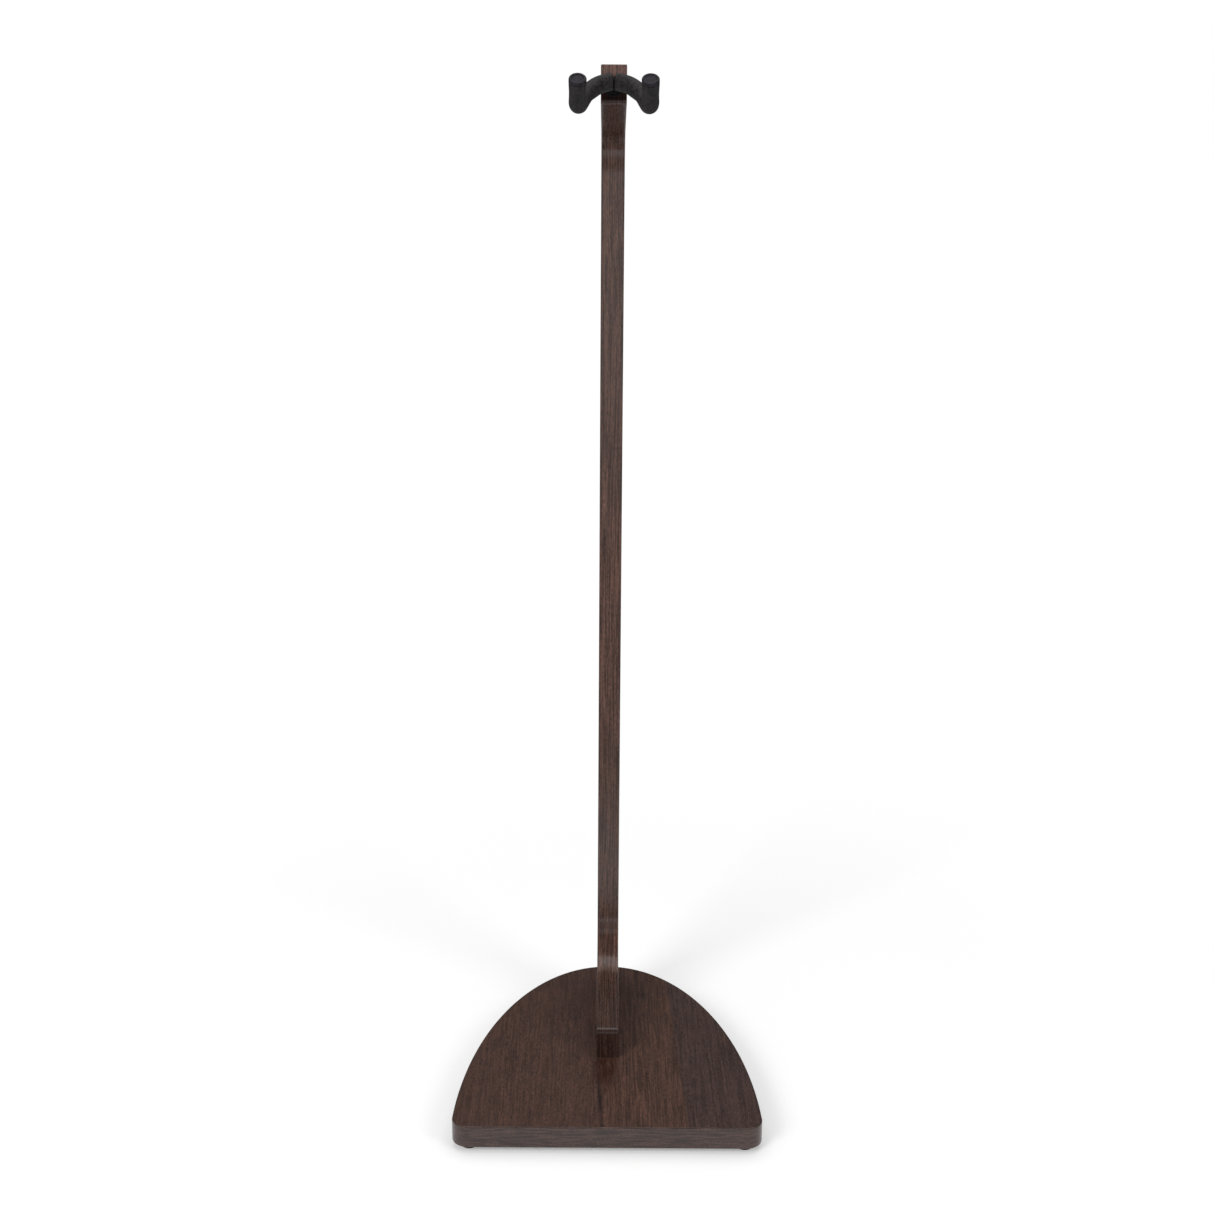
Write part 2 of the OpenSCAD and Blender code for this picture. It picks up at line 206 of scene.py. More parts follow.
def rounded(corners, radii, step=3):
    """A closed outline with its corners rounded; the count of points doesn't depend on the radii."""
    points = []
    count = len(corners)
    for i, (corner, radius) in enumerate(zip(corners, radii)):
        corner = Vector(corner)
        arrive = (corner - Vector(corners[i - 1])).normalized()
        leave = (Vector(corners[(i + 1) % count]) - corner).normalized()
        turn = math.atan2(arrive.x * leave.y - arrive.y * leave.x, arrive.dot(leave))
        if radius == 0:
            points.append(corner)
            continue
        side = math.copysign(1, turn)
        left = Vector((-arrive.y, arrive.x))
        centre = corner - arrive * radius * math.tan(abs(turn) / 2) + left * side * radius
        steps = round(abs(math.degrees(turn)) / step)
        start = math.atan2(arrive.y, arrive.x) - side * math.pi / 2
        for k in range(steps + 1):
            a = start + turn * k / steps
            points.append(centre + radius * Vector((math.cos(a), math.sin(a))))
    return points


def upright_outline(inset):
    """Side outline of the upright in (y, z), moved inwards by inset except on its underside."""
    foot_y = STRAIGHT_FRONT_Y - FOOT_REACH
    slant = inset / math.cos(TAPER)

    def foot_top(y):
        return BASE_TOP + FOOT_TIP_H + (y - foot_y) * math.tan(TAPER) - slant

    def arm_under(y):
        return UPRIGHT_TOP - ARM_TIP_H - (y - ARM_END_Y) * math.tan(TAPER) + slant

    front = STRAIGHT_FRONT_Y + inset
    corners = [
        (foot_y + inset, BASE_TOP),
        (UPRIGHT_BACK - inset, BASE_TOP),
        (UPRIGHT_BACK - inset, UPRIGHT_TOP - inset),
        (ARM_END_Y + inset, UPRIGHT_TOP - inset),
        (ARM_END_Y + inset, arm_under(ARM_END_Y + inset)),
        (front, arm_under(front)),
        (front, foot_top(front)),
        (foot_y + inset, foot_top(foot_y + inset)),
    ]
    radii = [0, 0, BACK_R - inset, TOP_NOSE_R - inset, ARM_NOSE_R - inset,
             ARM_BEND_R + inset, FOOT_BEND_R + inset, FOOT_NOSE_R - inset]
    return rounded(corners, radii)


# The base's corners are fitted to its ellipse in rounds, from a first guess of their parameter
FITTING_ROUNDS = 8
FIRST_GUESS = 0.03


def ellipse_normal(half_width, depth, t):
    """The outward normal, at parameter t, of an ellipse whose centre is on the front edge."""
    return Vector((math.cos(t) / half_width, math.sin(t) / depth)).normalized()


def corner_parameter(half_width, depth, radius):
    """Where on the ellipse a corner of that radius leaves it to meet the straight front edge."""
    t = FIRST_GUESS
    for _ in range(FITTING_ROUNDS):
        normal = ellipse_normal(half_width, depth, t)
        t = math.asin(radius * (1 + normal.y) / depth)
    return t


def ellipse_half_width():
    """Half-width of the whole ellipse, from the band's box, which its rounded corners cut short."""
    half_width = band_high.x
    for _ in range(FITTING_ROUNDS):
        t = corner_parameter(half_width, BASE_DEPTH, CORNER_R)
        normal = ellipse_normal(half_width, BASE_DEPTH, t)
        half_width = (band_high.x - CORNER_R * (1 - normal.x)) / math.cos(t)
    return half_width


ELLIPSE_HALF_WIDTH = ellipse_half_width()


def base_outline(inset, corner_steps=16, side_steps=90):
    """Plan outline of the base in (x, y), moved inwards by inset."""
    half_width = ELLIPSE_HALF_WIDTH - inset
    depth = BASE_DEPTH - 2 * inset
    radius = CORNER_R - inset
    front = band_low.y + inset
    t = corner_parameter(half_width, depth, radius)
    normal = ellipse_normal(half_width, depth, t)
    rise = math.atan2(normal.y, normal.x) + math.pi / 2
    centre = Vector((half_width * math.cos(t) - radius * normal.x, front + radius))
    half = []
    for k in range(corner_steps + 1):
        a = rise * k / corner_steps - math.pi / 2
        half.append(centre + radius * Vector((math.cos(a), math.sin(a))))
    for k in range(1, side_steps + 1):
        q = t + (math.pi / 2 - t) * k / side_steps
        half.append(Vector((half_width * math.cos(q), front + depth * math.sin(q))))
    return half + [Vector((-p.x, p.y)) for p in reversed(half[:-1])]


def open_at_foot(inset):
    """The upright's outline from its rear bottom corner over the top to the foot's nose."""
    outline = upright_outline(inset)
    return outline[1:] + outline[:1]


def band_section(low, high):
    """Cross-section of an edge band as (inset, across), outer edges eased, inner edges nicked.

    A point just inside each eased edge keeps the shading of the flat part flat.
    """
    flat_edge = 0.25 * MM
    bottom = arc((EASED_R, low + EASED_R), EASED_R, -90, -180, steps=5)
    bottom.append((0, low + EASED_R + flat_edge))
    top = [(0, high - EASED_R - flat_edge)]
    top += arc((EASED_R, high - EASED_R), EASED_R, 180, 90, steps=5)
    inner = [(BAND_T - SEAM, high), (BAND_T, high - SEAM), (BAND_T, low + SEAM),
             (BAND_T - SEAM, low)]
    return bottom + top + inner


def in_plan(point, across):
    """A base outline's point at a height."""
    return Vector((point.x, point.y, across))


def in_side(point, across):
    """An upright outline's point at a distance across the board."""
    return Vector((across, point.x, point.y))


def band_builder(outline, section, place, closed):
    """Builder of a band: its cross-section carried round the outline."""
    def build(bm):
        rows = []
        for inset, across in section:
            rows.append([bm.verts.new(place(p, across)) for p in outline(inset)])
        for row, following in zip(rows, rows[1:] + rows[:1]):
            bridge(bm, row, following, closed)
        if not closed:
            for end in (0, -1):
                bm.faces.new([row[end] for row in rows])
    return build


def board_builder(outline, place, low, high):
    """Builder of a board between two faces, with the fine bevel that shows as its glue line."""
    def build(bm):
        rows = []
        for inset, across in ((BAND_T + SEAM, low), (BAND_T, low + SEAM),
                              (BAND_T, high - SEAM), (BAND_T + SEAM, high)):
            rows.append([bm.verts.new(place(p, across)) for p in outline(inset)])
        for row, following in zip(rows, rows[1:]):
            bridge(bm, row, following, closed=True)
        bm.faces.new(list(reversed(rows[0])))
        bm.faces.new(rows[-1])
    return build


def band_length(outline):
    """Length along an outline from its first point to its last."""
    return sum((b - a).length for a, b in zip(outline, outline[1:]))


def until_arm_end(outline):
    """The part of the upright's outline before the arm's end face."""
    end = next(i for i, p in enumerate(outline) if p.x < ARM_END_Y + TOP_NOSE_R / 4)
    return outline[:end + 1]


# The part of a stored grain place that runs along the band
ALONG_BAND = 1


def lay_grain(obj, outline, flat):
    """Stores on each vertex its place across the band, along it and into it, for the grain.

    flat picks the vertex's two outline coordinates and the one across the board.
    """
    path = np.array([tuple(p) for p in outline])
    starts, steps = path[:-1], np.diff(path, axis=0)
    lengths = np.linalg.norm(steps, axis=1)
    before = np.concatenate(([0], np.cumsum(lengths)[:-1]))
    values = []
    for vertex in obj.data.vertices:
        here = np.array([vertex.co[flat[0]], vertex.co[flat[1]]])
        share = np.einsum("ij,ij->i", here - starts, steps) / lengths ** 2
        share = np.clip(share, 0, 1)
        away = np.linalg.norm(here - starts - steps * share[:, None], axis=1)
        nearest = int(np.argmin(away))
        along = before[nearest] + share[nearest] * lengths[nearest]
        values.extend((vertex.co[flat[2]], along, away[nearest]))
    attribute = obj.data.attributes.new("grain", "FLOAT_VECTOR", "POINT")
    attribute.data.foreach_set("vector", values)


# ---- The yoke's centre line ----

def peg_direction():
    """The way the right peg points, forwards and up from its bend."""
    lean = -PEG_LEAN / PEG_LENGTH
    return Vector((lean, -math.cos(PEG_TILT), math.sin(PEG_TILT))).normalized()


def centre_line(gap, step_degrees=3):
    """Stations (point, direction) from the middle of the rod out to the right peg's end."""
    top = PEG_BEND + peg_direction() * (PEG_LENGTH - gap)
    mirrored = Vector((-SHOULDER.x, SHOULDER.y, SHOULDER.z))
    corners = [mirrored, Vector((0, 0, 0)), SHOULDER, ELBOW, PEG_BEND, top]
    stations = []
    for i, radius in enumerate(BEND_RADII, start=1):
        arrive = (corners[i] - corners[i - 1]).normalized()
        leave = (corners[i + 1] - corners[i]).normalized()
        turn = arrive.angle(leave)
        inward = (leave - arrive * arrive.dot(leave)).normalized()
        centre = corners[i] - arrive * radius * math.tan(turn / 2) + inward * radius
        steps = 2 * math.ceil(math.degrees(turn) / step_degrees / 2)
        for k in range(steps // 2 if i == 1 else 0, steps + 1):
            a = turn * k / steps
            point = centre + radius * (math.sin(a) * arrive - math.cos(a) * inward)
            stations.append((point, math.cos(a) * arrive + math.sin(a) * inward))
    stations.append((top, peg_direction()))
    return stations


def resampled(stations, spacing):
    """Stations spaced evenly along the centre line, with the distance of each from the middle."""
    points = [p for p, _ in stations]
    lengths = [0.0]
    for a, b in zip(points, points[1:]):
        lengths.append(lengths[-1] + (b - a).length)
    total = lengths[-1]
    count = round(total / spacing)
    result = []
    i = 0
    for k in range(count + 1):
        at = total * k / count
        while i < len(points) - 2 and lengths[i + 1] < at:
            i += 1
        share = (at - lengths[i]) / (lengths[i + 1] - lengths[i])
        point = points[i].lerp(points[i + 1], share)
        direction = stations[i][1].lerp(stations[i + 1][1], share).normalized()
        result.append((point, direction, at))
    return result


def on_yoke(point, side):
    """A point of the yoke's own frame in the stand's frame; side -1 mirrors it to the left."""
    return yoke_centre + Vector((side * point.x, point.y, point.z))


def ring(bm, point, direction, radius, side, sides=64):
    """A ring of vertices round a station of the centre line."""
    across = direction.cross(UP).normalized()
    up = across.cross(direction)
    verts = []
    for k in range(sides):
        a = 2 * math.pi * k / sides
        here = point + radius * (math.cos(a) * across + math.sin(a) * up)
        verts.append(bm.verts.new(on_yoke(here, side)))
    return verts


def sleeve_builder(side):
    """Builder of one padded sleeve: rounded where it meets its twin, hollow for the rod."""
    root_round = 1.9 * MM
    tip_round = 0.7 * MM
    waist = 0.45 * MM
    bore_r = ROD_R + 0.05 * MM
    ring_spacing = 0.5 * MM
    bore_stride = 4

    def rounding(distance, radius):
        """How far the surface has drawn in, that distance from a rounded end."""
        if distance >= radius:
            return 0
        return radius - math.sqrt(radius ** 2 - (radius - distance) ** 2)

    def outer_radius(from_root, from_tip):
        peg_share = min(from_tip / (PEG_LENGTH - CAP_H), 1)
        slimmer = waist * math.sin(math.pi * peg_share) ** 2
        return SLEEVE_R - rounding(from_root, root_round) - rounding(from_tip, tip_round) - slimmer

    def build(bm):
        stations = [s for s in resampled(centre_line(CAP_H), ring_spacing) if s[2] >= SLIT / 2]
        first, last = stations[0][2], stations[-1][2]
        outer = []
        for point, direction, at in stations:
            outer.append(ring(bm, point, direction, outer_radius(at - first, last - at), side))
        bore = [ring(bm, point, direction, bore_r, side)
                for point, direction, _ in stations[::bore_stride] + stations[-1:]]
        loop = outer + list(reversed(bore))
        for row, following in zip(loop, loop[1:] + loop[:1]):
            bridge(bm, row, following, closed=True)
    return build


def cap_builder(side):
    """Builder of a peg's cap: rounded rim, shallow dish, and a plug down the sleeve's bore."""
    rim_round = 1.3 * MM
    base_round = 0.4 * MM
    dish_r = 6.2 * MM
    dish_depth = 0.55 * MM
    plug_l = 5 * MM
    top = PEG_BEND + peg_direction() * PEG_LENGTH
    profile = [(0, -CAP_H - plug_l), (ROD_R, -CAP_H - plug_l), (ROD_R, -CAP_H)]
    profile += arc((SLEEVE_R - base_round, -CAP_H + base_round), base_round, -90, 0, steps=3)
    profile += arc((SLEEVE_R - rim_round, -rim_round), rim_round, 0, 90)
    profile += arc((dish_r, -dish_depth), dish_depth, 90, 180, steps=4)
    profile.append((0, -dish_depth))

    def build(bm):
        lathe(bm, profile, top, peg_direction())
        for vertex in bm.verts:
            vertex.co = on_yoke(vertex.co, side)
    return build


# ---- Materials ----

class Shader:
    """One node material, with short calls for the nodes it uses."""

    def __init__(self, name):
        self.material = bpy.data.materials.new(name)
        self.material.use_nodes = True
        self.nodes = self.material.node_tree.nodes
        self.links = self.material.node_tree.links
        self.bsdf = self.nodes["Principled BSDF"]

    def put(self, socket, value):
        """Links a node's output to a socket, or sets the socket to a plain value."""
        if isinstance(value, bpy.types.NodeSocket):
            self.links.new(value, socket)
        elif value is not None:
            socket.default_value = value

    def coords(self, attribute=None):
        """A place stored on the mesh, or the place in the piece's own frame."""
        if attribute:
            node = self.nodes.new("ShaderNodeAttribute")
            node.attribute_name = attribute
            return node.outputs["Vector"]
        return self.nodes.new("ShaderNodeTexCoord").outputs["Object"]

    def scaled(self, vector, scale):
        """The vector multiplied by a scale for each axis."""
        node = self.nodes.new("ShaderNodeMapping")
        self.put(node.inputs["Vector"], vector)
        node.inputs["Scale"].default_value = scale
        return node.outputs["Vector"]

    def noise(self, vector, detail=2.0, roughness=0.5):
        """Soft noise with about one feature to each unit of the vector."""
        node = self.nodes.new("ShaderNodeTexNoise")
        self.put(node.inputs["Vector"], vector)
        node.inputs["Scale"].default_value = 1
        node.inputs["Detail"].default_value = detail
        node.inputs["Roughness"].default_value = roughness
        return node.outputs["Fac"]

    def even_noise(self, per_metre, detail=2.0, roughness=0.5):
        """Noise of one scale in every direction, with about that many features to a metre."""
        return self.noise(self.scaled(self.coords(), [per_metre] * 3), detail, roughness)

    def cells(self, vector):
        """Distance to the middle of the nearest of many random cells."""
        node = self.nodes.new("ShaderNodeTexVoronoi")
        self.put(node.inputs["Vector"], vector)
        node.inputs["Scale"].default_value = 1
        return node.outputs["Distance"]

    def spread(self, value, low, high, to_low=0.0, to_high=1.0):
        """The value carried from one range to another, and held at its ends."""
        node = self.nodes.new("ShaderNodeMapRange")
        self.put(node.inputs["Value"], value)
        node.inputs["From Min"].default_value = low
        node.inputs["From Max"].default_value = high
        node.inputs["To Min"].default_value = to_low
        node.inputs["To Max"].default_value = to_high
        return node.outputs["Result"]

    def calc(self, operation, a, b=None):
        """One arithmetic step."""
        node = self.nodes.new("ShaderNodeMath")
        node.operation = operation
        self.put(node.inputs[0], a)
        self.put(node.inputs[1], b)
        return node.outputs["Value"]

    def moved(self, vector, amount, direction):
        """The vector moved by an amount along a fixed direction."""
        scale = self.nodes.new("ShaderNodeVectorMath")
        scale.operation = "SCALE"
        scale.inputs[0].default_value = direction
        self.put(scale.inputs["Scale"], amount)
        add = self.nodes.new("ShaderNodeVectorMath")
        add.operation = "ADD"
        self.put(add.inputs[0], vector)
        self.put(add.inputs[1], scale.outputs["Vector"])
        return add.outputs["Vector"]

    def distance(self, vector, point):
        """Distance from the vector to a fixed point."""
        node = self.nodes.new("ShaderNodeVectorMath")
        node.operation = "DISTANCE"
        self.put(node.inputs[0], vector)
        node.inputs[1].default_value = point
        return node.outputs["Value"]

    def part(self, vector, axis):
        """One of the vector's three parts."""
        node = self.nodes.new("ShaderNodeSeparateXYZ")
        self.put(node.inputs[0], vector)
        return node.outputs[axis]

    def mix(self, share, a, b):
        """Colour a where the share is 0 and colour b where it is 1."""
        node = self.nodes.new("ShaderNodeMix")
        node.data_type = "RGBA"
        self.put(node.inputs["Factor"], share)
        self.put(node.inputs["A"], a)
        self.put(node.inputs["B"], b)
        return node.outputs["Result"]

    def shade(self, colour, amount):
        """The colour multiplied by a grey amount."""
        node = self.nodes.new("ShaderNodeVectorMath")
        node.operation = "SCALE"
        self.put(node.inputs[0], colour[:3] if isinstance(colour, tuple) else colour)
        self.put(node.inputs["Scale"], amount)
        return node.outputs["Vector"]

    def bump(self, height, strength, distance):
        """The surface normal, tilted by a fine relief of that depth."""
        node = self.nodes.new("ShaderNodeBump")
        self.put(node.inputs["Height"], height)
        node.inputs["Strength"].default_value = strength
        node.inputs["Distance"].default_value = distance
        return node.outputs["Normal"]

    def finish(self, colour, roughness, normal=None, **uniform):
        """Connects the surface; each uniform value is set on the shader's own socket."""
        self.put(self.bsdf.inputs["Base Color"], colour)
        self.put(self.bsdf.inputs["Roughness"], roughness)
        self.put(self.bsdf.inputs["Normal"], normal)
        for name, value in uniform.items():
            self.bsdf.inputs[name.replace("_", " ")].default_value = value
        return self.material


def srgb(red, green, blue):
    """A colour given as 0 to 255 display values, as the linear colour that shaders take."""
    def linear(value):
        share = value / 255
        return share / 12.92 if share <= 0.04045 else ((share + 0.055) / 1.055) ** 2.4
    return (linear(red), linear(green), linear(blue), 1.0)


# Ranges that a noise is read over: a usual one, and a tighter one for more contrast
NOISE_SPAN = (0.3, 0.7)
NOISE_CORE = (0.35, 0.65)

# Features to a metre in each layer of the grain, across it and along it
DRIFT_GRAIN = (10, 2.5)
BROAD_GRAIN = (60, 34)
STREAK_GRAIN = (380, 48)
LINE_GRAIN = (640, 12)
FLECK_GRAIN = (1200, 200)
PORE_GRAIN = (2300, 120)


def veneer(name, attribute, along, cool, warm, gloss, shine=0.5, mottle=0.07, striped=0.5,
           leaves=(), figure=None):
    """Dark open-pored veneer whose grain follows the axis given.

    mottle is how much its tone drifts, and striped how strong its fine lines are. leaves are (where
    it starts across the board, how much warmer, how much more striped), each against the leaf
    before it. gloss is the roughness, which the streaks vary a little, shine the strength of
    reflections, and figure adds local marks, painted light and shade among them, to the colour and the
    shine.
    """
    s = Shader(name)
    coords = s.coords(attribute)
    across = s.part(coords, 0)

    def stretched(vector, grain):
        """The vector scaled for a layer of grain."""
        scale = [grain[0]] * 3
        scale[along] = grain[1]
        return s.scaled(vector, scale)

    warmth = 0.6
    leaf = 0.0
    for start, leaf_warmth, leaf_stripes in leaves:
        past = s.calc("GREATER_THAN", leaf_edge(s, coords, across, start), 0)
        leaf = s.calc("ADD", leaf, past)
        warmth = s.calc("ADD", s.calc("MULTIPLY", past, leaf_warmth), warmth)
        striped = s.calc("ADD", s.calc("MULTIPLY", past, leaf_stripes), striped)

    # Each leaf takes its grain from another place, and the grain wanders sideways a little
    next_leaf = (0.37, 0.53, 0.71)
    wander = 8 * MM
    sideways = [1.0, 1.0, 1.0]
    sideways[along] = 0.0
    fresh = s.moved(coords, leaf, next_leaf)
    drift = s.noise(stretched(fresh, DRIFT_GRAIN), detail=3)
    fresh = s.moved(fresh, s.spread(drift, 0, 1, -wander, wander), sideways)

    broad = s.noise(stretched(fresh, BROAD_GRAIN), detail=4, roughness=0.65)
    streaks = s.noise(stretched(fresh, STREAK_GRAIN), detail=3, roughness=0.6)
    lines = s.noise(stretched(fresh, LINE_GRAIN), detail=1, roughness=0.6)
    flecks = s.noise(stretched(fresh, FLECK_GRAIN), detail=3, roughness=0.75)
    pores = s.noise(stretched(fresh, PORE_GRAIN), detail=1)

    broad_hue = 0.22
    streak_hue = 0.18
    hue = s.calc("ADD", s.spread(broad, *NOISE_SPAN, -broad_hue, broad_hue), warmth)
    hue = s.calc("ADD", s.spread(streaks, *NOISE_SPAN, -streak_hue, streak_hue), hue)
    colour = s.mix(hue, cool, warm)

    streak_tone = 0.1
    line_tone = 0.4
    darkest_fleck = 0.5
    palest_fleck = 1.55
    pore_tone = 0.5
    tone = s.spread(broad, 0.28, 0.72, 1 - mottle, 1 + mottle)
    streak = s.spread(streaks, *NOISE_SPAN, 1 - streak_tone, 1 + streak_tone)
    tone = s.calc("MULTIPLY", tone, streak)
    stripe = s.spread(lines, 0.36, 0.64, -line_tone, line_tone)
    tone = s.calc("MULTIPLY", tone, s.calc("ADD", s.calc("MULTIPLY", stripe, striped), 1))
    fleck = s.spread(flecks, 0.32, 0.68, darkest_fleck, palest_fleck)
    tone = s.calc("MULTIPLY", tone, fleck)
    pore = s.spread(pores, 0.62, 0.72)
    tone = s.calc("MULTIPLY", tone, s.spread(pore, 0, 1, 1, pore_tone))
    colour = s.shade(colour, tone)
    if figure:
        colour, shine = figure(s, coords, colour, shine)

    height = s.calc("SUBTRACT", s.calc("MULTIPLY", flecks, 0.5), pore)
    normal = s.bump(height, strength=0.25, distance=0.08 * MM)
    roughness = s.spread(streaks, *NOISE_SPAN, gloss - 0.03, gloss + 0.05)
    s.put(s.bsdf.inputs["Specular IOR Level"], shine)
    return s.finish(colour, roughness, normal)


def leaf_edge(s, coords, across, start):
    """How far a point lies past a leaf's join, which runs slightly aslant."""
    aslant = 0.047
    skewed = s.calc("ADD", across, s.calc("MULTIPLY", s.part(coords, Y), aslant))
    return s.calc("SUBTRACT", skewed, start)


# Where the base's two middle leaves meet
BASE_JOIN = -14 * MM


def base_join_and_painted_reflection(s, coords, colour, shine):
    """A dark join down the middle of the base, and a small reddish-dark patch in front of the upright's
    foot: a painted reflection of the foot.
    """
    join_colour = srgb(30, 20, 20)
    join_wander = 1.6 * MM
    join_core = 0.8 * MM
    join_edge = 3.2 * MM
    faintest = 0.35
    strongest = 0.9
    fades_from = -50 * MM
    fades_to = 20 * MM
    edge = leaf_edge(s, coords, s.part(coords, X), BASE_JOIN)
    wander = s.noise(s.scaled(coords, (300, 60, 300)), detail=3)
    edge = s.calc("ADD", edge, s.spread(wander, 0, 1, -join_wander, join_wander))
    line = s.spread(s.calc("ABSOLUTE", edge), join_core, join_edge, 1, 0)
    patchy = s.noise(s.scaled(coords, (20, 26, 20)), detail=2)
    broken = s.spread(patchy, 0.38, 0.6, faintest, strongest)
    in_front = s.spread(s.part(coords, Y), fades_to, fades_from)
    line = s.calc("MULTIPLY", s.calc("MULTIPLY", line, broken), in_front)
    colour = s.mix(line, colour, join_colour)

    # Painted reflection of the upright's foot: a reddish-dark, ragged patch on the base just in front
    # of it
    foot_reflection_colour = srgb(42, 18, 13)
    foot_reflection_at = Vector((-3, -72, 0)) * MM
    foot_reflection_size = Vector((17, 42, 60)) * MM
    foot_reflection_strength = 0.9
    raggedness = 0.45
    shape = [1 / size for size in foot_reflection_size]
    centre = [place / size for place, size in zip(foot_reflection_at, foot_reflection_size)]
    away = s.distance(s.scaled(coords, shape), centre)
    ragged = s.noise(s.scaled(coords, (420, 70, 420)), detail=3)
    away = s.calc("ADD", away, s.spread(ragged, 0.2, 0.8, -raggedness, raggedness))
    foot_reflection = s.spread(away, 0.5, 1.15, foot_reflection_strength, 0)
    return s.mix(foot_reflection, colour, foot_reflection_colour), shine


def band_tones_and_painted_light(s, coords, colour, shine):
    """The upright's band: paler halfway up and darker on the foot's end, with a painted sheen on the
    foot's bend and painted shade on the foot's top.

    The arm's end face is painted paler as painted light, and dark and dull below the socket as a
    painted shadow of the yoke.
    """
    # Tones: halfway up, painted sheen on the foot's bend, painted shade on its top, the foot's end,
    # painted light on the arm's end and painted shadow below the socket
    halfway_tone = 1.34
    bend_sheen_tone = 1.3
    slope_shade_tone = 0.77
    foot_end_tone = 0.71
    arm_end_light_tone = 1.6
    socket_shadow_tone = 0.3
    socket_shadow_shine = 0.02

    def within(value, rise, fall):
        """1 between two ramps, each given as where it is 0 and where it is 1."""
        return s.calc("MULTIPLY", s.spread(value, *rise), s.spread(value, *fall))

    def toned(colour, share, tone):
        """The colour, multiplied by the tone where the share is 1."""
        return s.shade(colour, s.spread(share, 0, 1, 1, tone))

    height = s.part(s.coords(), Z)
    halfway = within(height, (280 * MM, 540 * MM), (720 * MM, 630 * MM))
    colour = toned(colour, halfway, halfway_tone)

    # The foot's bend, top and end, by how far each lies before the end face along the band; the bend
    # gets painted sheen and the top painted shade
    along = s.part(coords, ALONG_BAND)
    before_end = s.calc("SUBTRACT", FOOT_END_AT, along)
    # Painted sheen: the foot's bend is painted paler
    bend_sheen = within(before_end, (160 * MM, 140 * MM), (98 * MM, 110 * MM))
    colour = toned(colour, bend_sheen, bend_sheen_tone)
    # Painted shade: the foot's sloping top is painted darker
    slope_shade = s.spread(before_end, 108 * MM, 88 * MM)
    colour = toned(colour, slope_shade, slope_shade_tone)
    on_foot_end = s.spread(before_end, 3 * MM, -1 * MM)
    colour = toned(colour, on_foot_end, foot_end_tone)

    # The arm's end face: painted light makes it paler, and a painted shadow of the yoke makes it dark
    # and dull below the socket
    face_end = ARM_END_AT + ARM_TIP_H
    past_top = s.spread(along, ARM_END_AT - 1 * MM, ARM_END_AT + 1 * MM)
    past_end = s.spread(along, face_end - 5 * MM, face_end - 2 * MM)
    on_arm = s.calc("SUBTRACT", past_top, past_end)
    # Painted shadow of the yoke: dark and dull round a point below the socket, with painted light on
    # the end face beyond it
    socket_shadow_at = (0, ARM_END_Y, swivel_at.z - 9 * MM)
    clear = s.spread(s.distance(s.coords(), socket_shadow_at), 13 * MM, 24 * MM)
    end_light_and_shadow = s.spread(clear, 0, 1, socket_shadow_tone, arm_end_light_tone)
    shadow_dulled = s.calc("MULTIPLY", on_arm, s.calc("SUBTRACT", 1, clear))
    shine = s.spread(shadow_dulled, 0, 1, shine, socket_shadow_shine)
    return s.mix(on_arm, colour, s.shade(colour, end_light_and_shadow)), shine


def padded_rubber(name, low, high, roughness):
    """Matte, finely pebbled rubber."""
    s = Shader(name)
    pebbles = s.cells(s.scaled(s.coords(), [900] * 3))
    grit = s.even_noise(2200, detail=2, roughness=0.7)
    patches = s.even_noise(300, detail=5, roughness=0.75)
    speckle = s.calc("ADD", s.calc("MULTIPLY", grit, 0.5), s.calc("MULTIPLY", patches, 0.5))
    colour = s.mix(s.spread(speckle, 0.44, 0.58), low, high)
    height = s.calc("ADD", s.calc("MULTIPLY", pebbles, 0.7), s.calc("MULTIPLY", grit, 0.5))
    normal = s.bump(height, strength=0.6, distance=0.18 * MM)
    rough = s.spread(patches, *NOISE_SPAN, roughness - 0.06, roughness + 0.06)
    return s.finish(colour, rough, normal, Specular_IOR_Level=0.35)


def metal(name, colour, roughness, metallic):
    """Turned or plated metal with faint tool marks and patchy wear."""
    s = Shader(name)
    patches = s.even_noise(220, detail=4, roughness=0.6)
    fine = s.even_noise(900, detail=2, roughness=0.6)
    shaded = s.shade(colour, s.spread(patches, *NOISE_CORE, 0.72, 1))
    normal = s.bump(fine, strength=0.15, distance=0.03 * MM)
    rough = s.spread(patches, *NOISE_SPAN, roughness - 0.07, roughness + 0.07)
    return s.finish(shaded, rough, normal, Metallic=metallic, Specular_IOR_Level=0.25)


def plastic(name, colour, roughness):
    """Plain moulded bearing plastic."""
    s = Shader(name)
    patches = s.even_noise(300, detail=3, roughness=0.6)
    shaded = s.shade(colour, s.spread(patches, *NOISE_CORE, 0.8, 1))
    rough = s.spread(patches, *NOISE_SPAN, roughness - 0.05, roughness + 0.05)
    return s.finish(shaded, rough, s.bump(patches, strength=0.1, distance=0.02 * MM))


def bare_wood(name, low, high):
    """Bare straight-grained hardwood, grain upright."""
    s = Shader(name)
    streaks = s.noise(s.scaled(s.coords(), (900, 900, 40)), detail=3, roughness=0.6)
    colour = s.mix(s.spread(streaks, *NOISE_CORE), low, high)
    rough = s.spread(streaks, *NOISE_SPAN, 0.6, 0.75)
    return s.finish(colour, rough, s.bump(streaks, strength=0.3, distance=0.05 * MM))


# Each board's veneer, and the base's band, at the coolest and at the warmest
COOL_BASE = srgb(59, 44, 41)
WARM_BASE = srgb(70, 48, 39)
COOL_BAND = srgb(54, 41, 39)
WARM_BAND = srgb(59, 42, 36)
COOL_POST = srgb(60, 44, 41)
WARM_POST = srgb(67, 46, 37)

# How far along the upright's band the foot's end face and the arm's end face begin
FOOT_END_AT = band_length(open_at_foot(0)) - FOOT_TIP_H
ARM_END_AT = band_length(until_arm_end(open_at_foot(0)))

